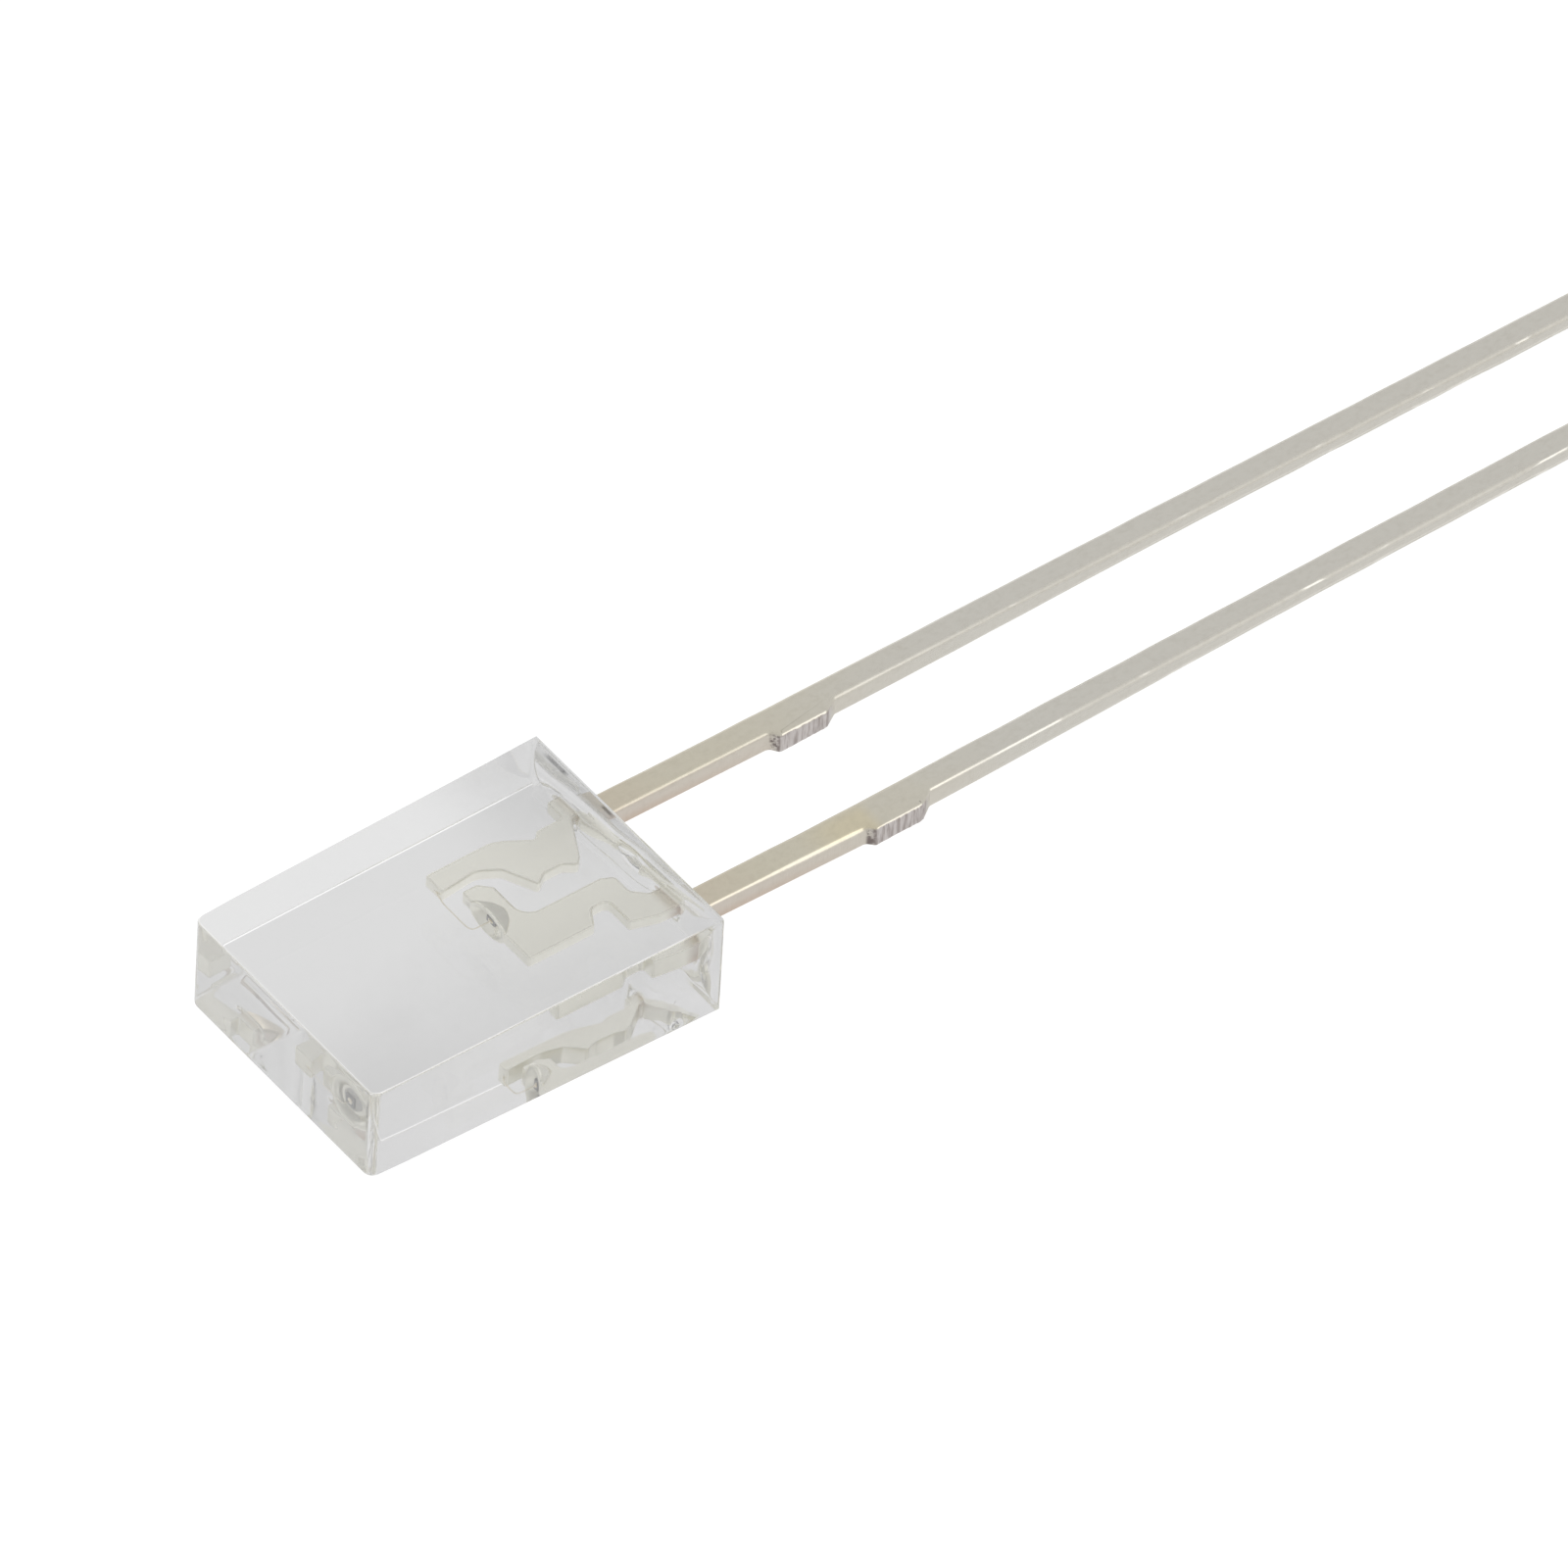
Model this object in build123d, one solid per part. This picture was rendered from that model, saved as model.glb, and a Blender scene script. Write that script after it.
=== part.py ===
from build123d import *
import math
import os

# Rectangular through-hole light-emitting diode, cast in clear epoxy. Millimetres.
# Origin: middle of the rim of the seating end, halfway between the two leads.
# +Y runs out along the leads, the light leaves towards -Y, and the broad faces look along +Z and -Z.

# Clear casting
BODY_WIDTH = 5.0
BODY_THICKNESS = 2.06
BODY_LENGTH = 6.86
DRAFT_ANGLE = 0.75
CORNER_RADIUS = 0.18
EDGE_RADIUS = 0.06

# Hollow that the shrinking resin leaves in the seating end
RIM_WIDTH = 0.08
DISH_DEPTH = 0.34
DISH_RADIUS = 0.32
DISH_TILT = 3.0
COLLAR_SPREAD = 0.16
COLLAR_TOP_SPREAD = 0.02
COLLAR_HEIGHT = 0.16

# Plated steel strip that both leads are stamped from
SHEET = 0.40
SHEET_RISE = 0.05
SHEAR_EASE = 0.04
SHARP_ROUND = 0.06
SOFT_ROUND = 0.12
LONG_ROUND = 0.30
LEAD_PITCH = 2.54
LEAD_WIDTH = 0.50
LEAD_TIP_WIDTH = 0.47
CATHODE_LENGTH = 25.4
ANODE_LENGTH = 26.9
LEAN_START = 3.0
CATHODE_LEAN = 1.2
ANODE_LEAN = 0.5

# Stubs of the cut tie bar, on one side of each lead
STUB_START = 3.60
STUB_LENGTH = 0.95
STUB_REACH = 0.16
STUB_ROOT_NEAR = 0.12
STUB_ROOT_FAR = 0.28
CATHODE_SWELL = 0.04

# Post, the inner end of the anode lead
POST_DEPTH = 3.06
FINGER_SHIFT = 0.06
FINGER_WIDTH = 0.46
FINGER_WAIST = 0.07
FINGER_NECK = 0.73
LOBE_THROAT = 0.30
LOBE_THROAT_STEP = 0.10
LOBE_FRONT = 1.68
LOBE_BACK = 0.90
LOBE_BITE = 0.15
LOBE_HEEL = 0.13
FRAME_GAP = 0.44
NOTCH_DEPTH = 1.13
NOTCH_SIZE = 0.13
SLEEVE_STEP = 0.08

# Anvil, the inner end of the cathode lead
ANVIL_DEPTH = 2.80
ANVIL_PAD_LENGTH = 0.50
ANVIL_BACK = 1.50
ANVIL_BACK_EASE = 0.18
ANVIL_OUTER = 1.10
ANVIL_INNER_EASE = 0.20
COLUMN_INNER = 0.31
COLUMN_WIDTH = 0.46
COLUMN_FOOT = 0.22
TIP_GAP = 0.17

# Shoulders where the inner ends meet the leads
ANODE_SHOULDER = 0.50
ANODE_NECK_WIDTH = 0.09
CATHODE_SHOULDER = 1.00
CATHODE_SHOULDER_STEP = 0.16
LEAD_ROOT = 0.36

# Coined head with the reflector cup
HEAD_RADIUS = 0.48
HEAD_PROUD = 0.01
HEAD_LENGTH = 0.12
HEAD_TAPER_LENGTH = 0.60
HEAD_EDGE_EASE = 0.03
CUP_MOUTH_RADIUS = 0.38
CUP_FLOOR_RADIUS = 0.27
CUP_DEPTH = 0.22

# Chip, its adhesive and its wire
CHIP_SIDE = 0.27
CHIP_HEIGHT = 0.13
ADHESIVE_LINE = 0.02
ADHESIVE_CLIMB = 0.04
ADHESIVE_RADIUS = 0.21
WIRE_DIAMETER = 0.03
BALL_DIAMETER = 0.09
BALL_HEIGHT = 0.02
LOOP_HEIGHT = 0.38
LOOP_SHOULDER = 0.12
LOOP_DROP = 0.34

# Places worked out from the sizes above
SHEET_FLOOR = SHEET_RISE - SHEET / 2
ANODE_X = -LEAD_PITCH / 2
CATHODE_X = LEAD_PITCH / 2
FINGER_OUTER = ANODE_X - FINGER_SHIFT
FINGER_INNER = FINGER_OUTER + FINGER_WIDTH
LOBE_INNER = COLUMN_INNER - FRAME_GAP
ANVIL_INNER = FINGER_INNER + TIP_GAP
COLUMN_OUTER = COLUMN_INNER + COLUMN_WIDTH
HEAD_FACE_Y = -ANVIL_DEPTH - HEAD_PROUD
CUP_FLOOR_Y = HEAD_FACE_Y + CUP_DEPTH
CHIP_BASE_Y = CUP_FLOOR_Y - ADHESIVE_LINE
CHIP_FRONT_Y = CHIP_BASE_Y - CHIP_HEIGHT


def facing_out(y):
    """Plane square to the leads at this y, looking towards the light, centred on the cup's axis."""
    return Plane(origin=(0, y, SHEET_RISE), x_dir=(1, 0, 0), z_dir=(0, -1, 0))


def stamped(corners):
    """Punch the outline of (x, y, radius) corners out of the strip, with its sheared edges eased."""
    outline = FilletPolyline(
        [(x, y) for x, y, _ in corners],
        radius=[radius for _, _, radius in corners],
        close=True,
    )
    blank = Pos(0, 0, SHEET_FLOOR) * extrude(make_face(outline), amount=SHEET)
    top_edges = blank.edges().group_by(Axis.Z)[-1]
    bottom_edges = blank.edges().group_by(Axis.Z)[0]
    return chamfer(top_edges + bottom_edges, SHEAR_EASE)


def lead_run(centre_x, length, lean, swell):
    """Corners of one lead outside the casting, from its +X root round the leaning tip to its -X side."""
    half = LEAD_WIDTH / 2
    half_tip = LEAD_TIP_WIDTH / 2
    stub_end = STUB_START + STUB_ROOT_NEAR + STUB_LENGTH
    run_start = stub_end + STUB_ROOT_FAR
    half_run = half - (half - half_tip) / 3
    slope = math.tan(math.radians(lean))
    run_x = centre_x - (run_start - LEAN_START) * slope
    tip_x = centre_x - (length - LEAN_START) * slope
    return [
        (centre_x + half + swell, STUB_START, SOFT_ROUND),
        (centre_x + half + STUB_REACH, STUB_START + STUB_ROOT_NEAR, SHARP_ROUND),
        (centre_x + half + STUB_REACH, stub_end, SHARP_ROUND),
        (run_x + half_run, run_start, SOFT_ROUND),
        (tip_x + half_tip, length, 0),
        (tip_x - half_tip, length, 0),
        (centre_x - half, LEAN_START, 0),
    ]


def anode_lead():
    """Post with its slim finger and its lobe, on the longer lead."""
    lead_inner = ANODE_X + LEAD_WIDTH / 2
    lead_outer = ANODE_X - LEAD_WIDTH / 2
    neck_outer = lead_inner - ANODE_NECK_WIDTH
    waist_inner = FINGER_INNER - FINGER_WAIST
    throat_x = waist_inner + (LOBE_INNER - waist_inner) / 4
    bite_near = -LOBE_BACK - LOBE_BITE - LOBE_HEEL / 2
    bite_far = -LOBE_FRONT + LOBE_BITE + LOBE_HEEL / 2
    corners = [
        (FINGER_OUTER, -POST_DEPTH, SHARP_ROUND),
        (FINGER_INNER, -POST_DEPTH, SHARP_ROUND),
        (waist_inner, -POST_DEPTH + FINGER_NECK, LONG_ROUND),
        (throat_x, -LOBE_FRONT - LOBE_THROAT, SOFT_ROUND),
        (LOBE_INNER, -LOBE_FRONT, SHARP_ROUND),
        (LOBE_INNER - LOBE_BITE, bite_far, SOFT_ROUND),
        (LOBE_INNER - LOBE_BITE, bite_near, SOFT_ROUND),
        (LOBE_INNER, -LOBE_BACK, SHARP_ROUND),
        (LOBE_INNER - LOBE_HEEL, -LOBE_BACK + LOBE_HEEL, SHARP_ROUND),
        (lead_inner, -LEAD_ROOT, SOFT_ROUND),
        *lead_run(ANODE_X, ANODE_LENGTH, ANODE_LEAN, 0),
        (lead_outer, -ANODE_SHOULDER, SHARP_ROUND),
        (neck_outer, -ANODE_SHOULDER, SHARP_ROUND),
        (neck_outer, -NOTCH_DEPTH + NOTCH_SIZE, SHARP_ROUND),
        (neck_outer + NOTCH_SIZE, -NOTCH_DEPTH, SHARP_ROUND),
        (FINGER_OUTER + SLEEVE_STEP, -LOBE_FRONT + LOBE_THROAT_STEP, SOFT_ROUND),
        (FINGER_OUTER, -LOBE_FRONT - LOBE_THROAT_STEP, LONG_ROUND),
    ]
    return stamped(corners)


def cathode_blank():
    """Flat anvil on the shorter lead, before its head is coined."""
    lead_inner = CATHODE_X - LEAD_WIDTH / 2
    lead_outer = CATHODE_X + LEAD_WIDTH / 2
    pad_back = -ANVIL_DEPTH + ANVIL_PAD_LENGTH
    foot_y = -LEAD_ROOT - COLUMN_FOOT
    corners = [
        (ANVIL_INNER, -ANVIL_DEPTH, SHARP_ROUND),
        (ANVIL_OUTER, -ANVIL_DEPTH, SHARP_ROUND),
        (ANVIL_OUTER, -ANVIL_BACK, SHARP_ROUND),
        (COLUMN_OUTER, -ANVIL_BACK + ANVIL_BACK_EASE, SOFT_ROUND),
        (COLUMN_OUTER, -CATHODE_SHOULDER, SOFT_ROUND),
        (lead_outer - CATHODE_SHOULDER_STEP, -CATHODE_SHOULDER, SHARP_ROUND),
        (lead_outer, -CATHODE_SHOULDER / 2, LONG_ROUND),
        *lead_run(CATHODE_X, CATHODE_LENGTH, CATHODE_LEAN, CATHODE_SWELL),
        (lead_inner, -LEAD_ROOT, SOFT_ROUND),
        (lead_inner - COLUMN_FOOT, foot_y, SOFT_ROUND),
        (COLUMN_INNER + COLUMN_FOOT / 2, foot_y, SOFT_ROUND),
        (COLUMN_INNER, foot_y - COLUMN_FOOT, SOFT_ROUND),
        (COLUMN_INNER, pad_back, LONG_ROUND),
        (ANVIL_INNER + ANVIL_INNER_EASE, pad_back, SHARP_ROUND),
        (ANVIL_INNER, pad_back - ANVIL_INNER_EASE, SHARP_ROUND),
    ]
    return stamped(corners)


def coined_head():
    """Round head that the strip's edge is swaged into, fading back into the sheet."""
    shoulder_y = HEAD_FACE_Y + HEAD_LENGTH
    tail_y = shoulder_y + HEAD_TAPER_LENGTH
    profile = Polyline(
        (0, HEAD_FACE_Y),
        (HEAD_RADIUS - HEAD_EDGE_EASE, HEAD_FACE_Y),
        (HEAD_RADIUS, HEAD_FACE_Y + HEAD_EDGE_EASE),
        (HEAD_RADIUS, shoulder_y),
        (SHEET / 2, tail_y),
        (0, tail_y),
        close=True,
    )
    return Pos(0, 0, SHEET_RISE) * revolve(make_face(profile), Axis.Y)


def reflector_cup():
    """Tapered pocket in the head's face, wide at the mouth."""
    mouth = facing_out(HEAD_FACE_Y) * Circle(CUP_MOUTH_RADIUS)
    floor = facing_out(CUP_FLOOR_Y) * Circle(CUP_FLOOR_RADIUS)
    return loft([floor, mouth])


def cathode_lead():
    """Anvil, reflector cup, tie-bar stub and lead, all one stamping."""
    return cathode_blank() + coined_head() - reflector_cup()


def led_chip():
    """Square chip standing on the cup's floor."""
    return extrude(facing_out(CHIP_BASE_Y) * Rectangle(CHIP_SIDE, CHIP_SIDE), amount=CHIP_HEIGHT)


def die_attach(chip):
    """Adhesive under the chip, with the low fillet that climbs its sides."""
    foot = facing_out(CUP_FLOOR_Y) * Circle(ADHESIVE_RADIUS)
    brow = facing_out(CHIP_BASE_Y - ADHESIVE_CLIMB) * Circle(ADHESIVE_RADIUS - ADHESIVE_CLIMB)
    return loft([foot, brow]) - chip


def bond_wire(post):
    """Gold wire from a ball on the chip, forwards in a loop and back on to the post's tip."""
    ball = extrude(facing_out(CHIP_FRONT_Y) * Circle(BALL_DIAMETER / 2), amount=BALL_HEIGHT)
    start_y = CHIP_FRONT_Y - BALL_HEIGHT / 2
    loop_y = CHIP_FRONT_Y - LOOP_HEIGHT
    landing_x = (FINGER_INNER + FINGER_OUTER) / 2
    path = Polyline(
        (0, start_y, SHEET_RISE),
        (0, loop_y + LOOP_SHOULDER, SHEET_RISE),
        (-LOOP_SHOULDER / 3, loop_y + LOOP_SHOULDER / 3, SHEET_RISE),
        (-LOOP_SHOULDER, loop_y, SHEET_RISE),
        (landing_x + LOOP_DROP + LOOP_SHOULDER, loop_y, SHEET_RISE),
        (landing_x + LOOP_DROP, loop_y + LOOP_SHOULDER / 3, SHEET_RISE),
        (landing_x, -POST_DEPTH + WIRE_DIAMETER, SHEET_RISE),
    )
    section = facing_out(start_y) * Circle(WIRE_DIAMETER / 2)
    wire = sweep(section, path=path, transition=Transition.RIGHT)
    return ball + wire - post


def seating_dish():
    """Hollow with rounded foot and corners that the resin's surface sinks to between the rims."""
    outline = Rectangle(BODY_WIDTH - 2 * RIM_WIDTH, BODY_THICKNESS - 2 * RIM_WIDTH)
    tool = extrude(Plane.XZ.offset(-BODY_THICKNESS) * outline, amount=BODY_THICKNESS + DISH_DEPTH)
    open_edges = tool.faces().sort_by(Axis.Y)[-1].edges()
    tool = fillet([edge for edge in tool.edges() if edge not in open_edges], DISH_RADIUS)
    return Rot(0, 0, DISH_TILT) * tool


def collar(centre_x):
    """Low cone of resin drawn up round one lead where it leaves the dish."""
    floor_y = -DISH_DEPTH + centre_x * math.tan(math.radians(DISH_TILT))
    sketches = []
    for y, spread in ((floor_y - COLLAR_HEIGHT, COLLAR_SPREAD), (floor_y + COLLAR_HEIGHT, COLLAR_TOP_SPREAD)):
        outline = Rectangle(LEAD_WIDTH + 2 * spread, SHEET + 2 * spread)
        sketches.append(facing_out(y) * Pos(centre_x, 0) * outline)
    return loft(sketches)


def casting():
    """Drafted block with rounded edges, its seating end dished and drawn up round the leads."""
    block = extrude(Plane.XZ * Rectangle(BODY_WIDTH, BODY_THICKNESS), amount=BODY_LENGTH)
    block = draft(block.faces().filter_by(Axis.Y, reverse=True), Plane.XZ, DRAFT_ANGLE)
    end_face = block.faces().sort_by(Axis.Y)[0]
    corner_edges = end_face.edges().filter_by(lambda edge: abs(edge.tangent_at(0.5).X) < 0.5)
    block = fillet(corner_edges, CORNER_RADIUS)
    seating_edges = block.faces().sort_by(Axis.Y)[-1].edges()
    block = fillet([edge for edge in block.edges() if edge not in seating_edges], EDGE_RADIUS)
    return block - seating_dish() + collar(CATHODE_X) + collar(ANODE_X)


def build():
    """All pieces by name."""
    cathode = cathode_lead()
    anode = anode_lead()
    chip = led_chip()
    adhesive = die_attach(chip)
    wire = bond_wire(anode)
    epoxy = casting() - cathode - anode - chip - adhesive - wire
    return {
        "epoxy_body": epoxy,
        "cathode_lead": cathode,
        "anode_lead": anode,
        "led_chip": chip,
        "die_attach": adhesive,
        "bond_wire": wire,
    }


os.makedirs("parts", exist_ok=True)
for name, piece in build().items():
    export_step(piece, f"parts/{name}.step")
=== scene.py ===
import math

import bmesh
import bpy
from mathutils import Matrix, Vector, noise


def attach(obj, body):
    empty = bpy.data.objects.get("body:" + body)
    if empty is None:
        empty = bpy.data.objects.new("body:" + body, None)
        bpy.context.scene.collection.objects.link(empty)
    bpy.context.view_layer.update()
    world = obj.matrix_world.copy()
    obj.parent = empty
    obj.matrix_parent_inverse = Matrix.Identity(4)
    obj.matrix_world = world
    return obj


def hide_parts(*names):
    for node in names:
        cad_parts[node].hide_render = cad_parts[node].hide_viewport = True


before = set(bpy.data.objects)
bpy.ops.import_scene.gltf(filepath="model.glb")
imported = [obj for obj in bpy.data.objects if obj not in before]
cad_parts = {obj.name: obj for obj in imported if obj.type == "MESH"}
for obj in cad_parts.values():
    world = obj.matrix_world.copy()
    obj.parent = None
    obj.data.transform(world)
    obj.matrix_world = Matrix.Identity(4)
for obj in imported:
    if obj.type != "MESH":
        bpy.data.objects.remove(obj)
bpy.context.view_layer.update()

bl_info = {
    "name": "Rectangular clear light-emitting diode",
    "version": (1, 0, 0),
    "blender": (4, 5, 0),
    "location": "3D View > Sidebar > Diode",
    "description": "Clear resin block with its stamped leads, chip and wire, on a pale stage",
    "category": "Object",
}

MM = 0.001


# Sizes and colours that can be changed

def length(name, description, millimetres):
    """A length property whose default is given in millimetres."""
    return bpy.props.FloatProperty(
        name=name, description=description, default=millimetres * MM, min=0.0, precision=5,
        subtype="DISTANCE", unit="LENGTH",
    )


def turn(name, description, degrees):
    """An angle property whose default is given in degrees."""
    return bpy.props.FloatProperty(
        name=name, description=description, default=math.radians(degrees),
        subtype="ANGLE", unit="ROTATION",
    )


def share(name, description, value):
    """A plain number from 0 to 1."""
    return bpy.props.FloatProperty(name=name, description=description, default=value, min=0.0, max=1.0)


def power(name, description, watts):
    """A lamp's power."""
    return bpy.props.FloatProperty(name=name, description=description, default=watts, unit="POWER")


def colour(name, description, red, green, blue):
    """A colour property, linear values."""
    return bpy.props.FloatVectorProperty(
        name=name, description=description, default=(red, green, blue), min=0.0, max=1.0, size=3,
        subtype="COLOR",
    )


class DiodeBlockSettings(bpy.types.PropertyGroup):
    """The clear resin block."""

    width: length("Width", "Width at the seating end", 5.0)
    thickness: length("Thickness", "Thickness at the seating end", 2.06)
    height: length("Length", "Length from rim to emitting face", 6.86)
    draft: turn("Draft", "Slope of each side towards the emitting face", 0.75)
    corner: length("Corner radius", "Radius of the emitting face's two short edges", 0.18)
    edge: length("Edge radius", "Radius of the long edges", 0.035)
    rim: length("Rim", "Width of the rim round the hollow seating end", 0.08)
    dish: length("Dish depth", "Depth of the hollow in the seating end", 0.34)
    dish_fade: length("Dish wall", "How far from the wall the hollow takes to reach its depth", 0.28)
    dish_tilt: turn("Dish tilt", "Slope of the hollow's floor across the leads", 3.0)
    climb: length("Climb", "How high the resin is drawn up each lead", 0.17)
    climb_fade: length("Climb width", "How far from the lead the drawn-up resin takes to fall away", 0.09)
    ior: bpy.props.FloatProperty(name="Refraction", description="Index of refraction", default=1.53, min=1.0)
    tint: colour("Resin", "Colour that light takes in going through the resin", 0.80, 0.80, 0.80)
    # painted shade: the resin's tint where the block is painted darker
    shaded_tint: colour("Deeper resin", "The same where the block is darker", 0.69, 0.69, 0.69)
    # painted light and shade: the emitting face's tint, under its full painted glow
    painted_end_tint: colour("Emitting face", "The same at the duller emitting face", 0.50, 0.50, 0.50)
    # painted glow: the resin's emission strength, a veil of light that no lamp casts, and the share of it on
    # each surface's inner side
    resin_glow: share("Haze", "Faint veil of scattered light over the block", 0.187)
    inner_glow: share("Inner haze", "Share of the veil that the inner side of each surface adds", 0.09)
    ripple: length("Ripple", "Height of the slow waves in the hollow end", 0.035)


class DiodeStripSettings(bpy.types.PropertyGroup):
    """The plated strip that both leads are stamped from."""

    sheet: length("Strip", "Thickness of the strip", 0.40)
    rise: length("Rise", "Height of the strip's middle above the block's middle", 0.05)
    roll: length("Rolled edge", "Radius that the punch leaves on the upper edges inside the block", 0.05)
    outer_roll: length("Outer rolled edge", "Radius of the upper edges outside the block", 0.09)
    burr: length("Lower edge", "Radius of the lower edges", 0.025)
    tinned_top: length("Tinned upper edge", "Radius of the upper edges where the lead is tinned", 0.09)
    tinned_foot: length("Tinned lower edge", "Radius of the lower edges where the lead is tinned", 0.18)
    lead: length("Lead width", "Width of a lead at the block", 0.50)
    tip: length("Tip width", "Width of a lead at its tip", 0.47)
    pitch: length("Pitch", "Distance between the leads", 2.54)
    ridges: length("Shear marks", "Depth of the upright marks on the cut stubs", 0.009)
    plating: colour("Plating", "Plating far from the block", 0.76, 0.735, 0.67)
    heat: colour("Warm plating", "Plating near the block", 0.76, 0.71, 0.575)
    copper: colour("Sheared side", "Bare metal of the sheared sides near the block", 0.66, 0.51, 0.40)
    silver: colour("Inner plating", "Plating inside the block", 0.965, 0.95, 0.85)


class DiodeDieSettings(bpy.types.PropertyGroup):
    """Chip, adhesive and wire in the cup."""

    side: length("Chip side", "Side of the square chip", 0.22)
    depth: length("Chip height", "Height of the chip", 0.13)
    adhesive: length("Adhesive radius", "Radius of the adhesive's foot", 0.21)
    wire: length("Wire", "Diameter of the bond wire", 0.025)
    chip_colour: colour("Chip", "Colour of the chip", 0.06, 0.06, 0.065)
    paste_colour: colour("Adhesive", "Colour of the adhesive", 0.80, 0.79, 0.76)
    gold_colour: colour("Gold", "Colour of the wire and the pad", 0.95, 0.91, 0.80)


class DiodeStageSettings(bpy.types.PropertyGroup):
    """Camera, floor and light."""

    azimuth: turn("Azimuth", "Camera's direction, from -Y towards +X", 50.3883)
    elevation: turn("Elevation", "Camera's height above the horizon", 45.3802)
    roll: turn("Roll", "Camera's turn about its own axis", 3.4690)
    distance: length("Distance", "Camera's distance", 500.043)
    lens: bpy.props.FloatProperty(name="Lens", description="Focal length in mm", default=717.75, min=1.0)
    floor_tone: share("Floor", "Brightness of the floor", 0.80)
    room_back: share("Room", "Brightness of the room, as resin and metal show it", 0.69)
    room_right: share("Room, right", "What is added low on the right", 0.08)
    room_front: share("Room, front", "Share by which the room's front is darker", 0.05)
    room_low: share("Room, low", "What is added in a band low behind the diode", 0.30)
    room_left: share("Room, left", "What is added level with the diode on the left", 0.25)
    room_matt: share("Room, matt", "Brightness of the room on matt surfaces", 0.85)
    ridge_lamp: power("Ridge lamp", "Power of the lamp that lights the leads' edges", 0.14)
    overhead_lamp: power("Overhead lamp", "Power of the soft lamp overhead", 0.12)


# Shader helpers

class Term:
    """One shader value; arithmetic on it adds Math nodes."""

    def __init__(self, recipe, socket):
        self.recipe = recipe
        self.socket = socket

    def _math(self, operation, first, second):
        node = self.recipe.add("ShaderNodeMath", {"operation": operation}, {0: first, 1: second})
        return self.recipe.term(node)

    def __add__(self, other):
        return self._math("ADD", self, other)

    def __radd__(self, other):
        return self._math("ADD", other, self)

    def __sub__(self, other):
        return self._math("SUBTRACT", self, other)

    def __rsub__(self, other):
        return self._math("SUBTRACT", other, self)

    def __mul__(self, other):
        return self._math("MULTIPLY", self, other)

    def __rmul__(self, other):
        return self._math("MULTIPLY", other, self)

    def __abs__(self):
        return self._math("ABSOLUTE", self, 0.0)

    def step(self, low, high):
        """0 below low and 1 above high, with a soft change between them."""
        node = self.recipe.add(
            "ShaderNodeMapRange",
            {"interpolation_type": "SMOOTHSTEP"},
            {"Value": self, "From Min": low, "From Max": high},
        )
        return self.recipe.term(node, "Result")


class Recipe:
    """A node tree and the few ways in which it grows."""

    def __init__(self, tree):
        self.tree = tree

    def add(self, kind, settings=None, inputs=None):
        """One node of a kind, its settings first and then the values or links of its sockets."""
        node = self.tree.nodes.new(kind)
        for key, value in (settings or {}).items():
            setattr(node, key, value)
        for key, value in (inputs or {}).items():
            socket = self.find(node, key)
            if isinstance(value, Term):
                self.tree.links.new(value.socket, socket)
            else:
                socket.default_value = value
        return node

    @staticmethod
    def find(node, key):
        """A node's input by number, identifier or name."""
        if isinstance(key, int):
            return node.inputs[key]
        for socket in node.inputs:
            if socket.identifier == key:
                return socket
        return node.inputs[key]

    def term(self, node, output=0):
        """A node's output as a value."""
        return Term(self, node.outputs[output])

    def blend(self, factor, first, second):
        """Mix of two colours."""
        settings = {"data_type": "RGBA"}
        inputs = {"Factor_Float": factor, "A_Color": first, "B_Color": second}
        node = self.add("ShaderNodeMix", settings, inputs)
        output = next(one for one in node.outputs if one.identifier == "Result_Color")
        return Term(self, output)

    def place(self):
        """The surface's own position in millimetres, and its three parts."""
        where = self.term(self.add("ShaderNodeTexCoord"), "Object")
        scaled = self.add("ShaderNodeVectorMath", {"operation": "SCALE"}, {0: where, "Scale": 1 / MM})
        position = self.term(scaled)
        parts = self.add("ShaderNodeSeparateXYZ", None, {0: position})
        return position, [self.term(parts, axis) for axis in range(3)]

    def facing(self):
        """The three parts of the surface's direction."""
        normal = self.term(self.add("ShaderNodeNewGeometry"), "Normal")
        parts = self.add("ShaderNodeSeparateXYZ", None, {0: normal})
        return [self.term(parts, axis) for axis in range(3)]

    def grain(self, position, stretch, detail=3.0, roughness=0.55):
        """Noise that is stretched by (x, y, z) turns per millimetre."""
        mapped = self.add(
            "ShaderNodeMapping", {"vector_type": "POINT"}, {"Vector": position, "Scale": stretch}
        )
        inputs = {"Vector": self.term(mapped), "Scale": 1.0, "Detail": detail, "Roughness": roughness}
        return self.term(self.add("ShaderNodeTexNoise", None, inputs), "Fac")

    def bump(self, height, depth):
        """Surface direction over a height field that is depth millimetres deep."""
        return self.term(self.add("ShaderNodeBump", None, {"Height": height, "Distance": depth * MM}))


def surface(name):
    """A new material's recipe, its shader and itself."""
    material = bpy.data.materials.new(name)
    material.use_nodes = True
    recipe = Recipe(material.node_tree)
    return recipe, material.node_tree.nodes["Principled BSDF"], material


def feed(recipe, shader, **inputs):
    """Values and links of a shader's sockets; an underscore in a name stands for a space."""
    for key, value in inputs.items():
        socket = shader.inputs[key.replace("_", " ")]
        if isinstance(value, Term):
            recipe.tree.links.new(value.socket, socket)
        else:
            socket.default_value = value


def opaque(values):
    """A colour with full alpha."""
    return (*values, 1.0)


def grey(level):
    """A neutral colour with full alpha."""
    return (level, level, level, 1.0)


# Finishes

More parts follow.
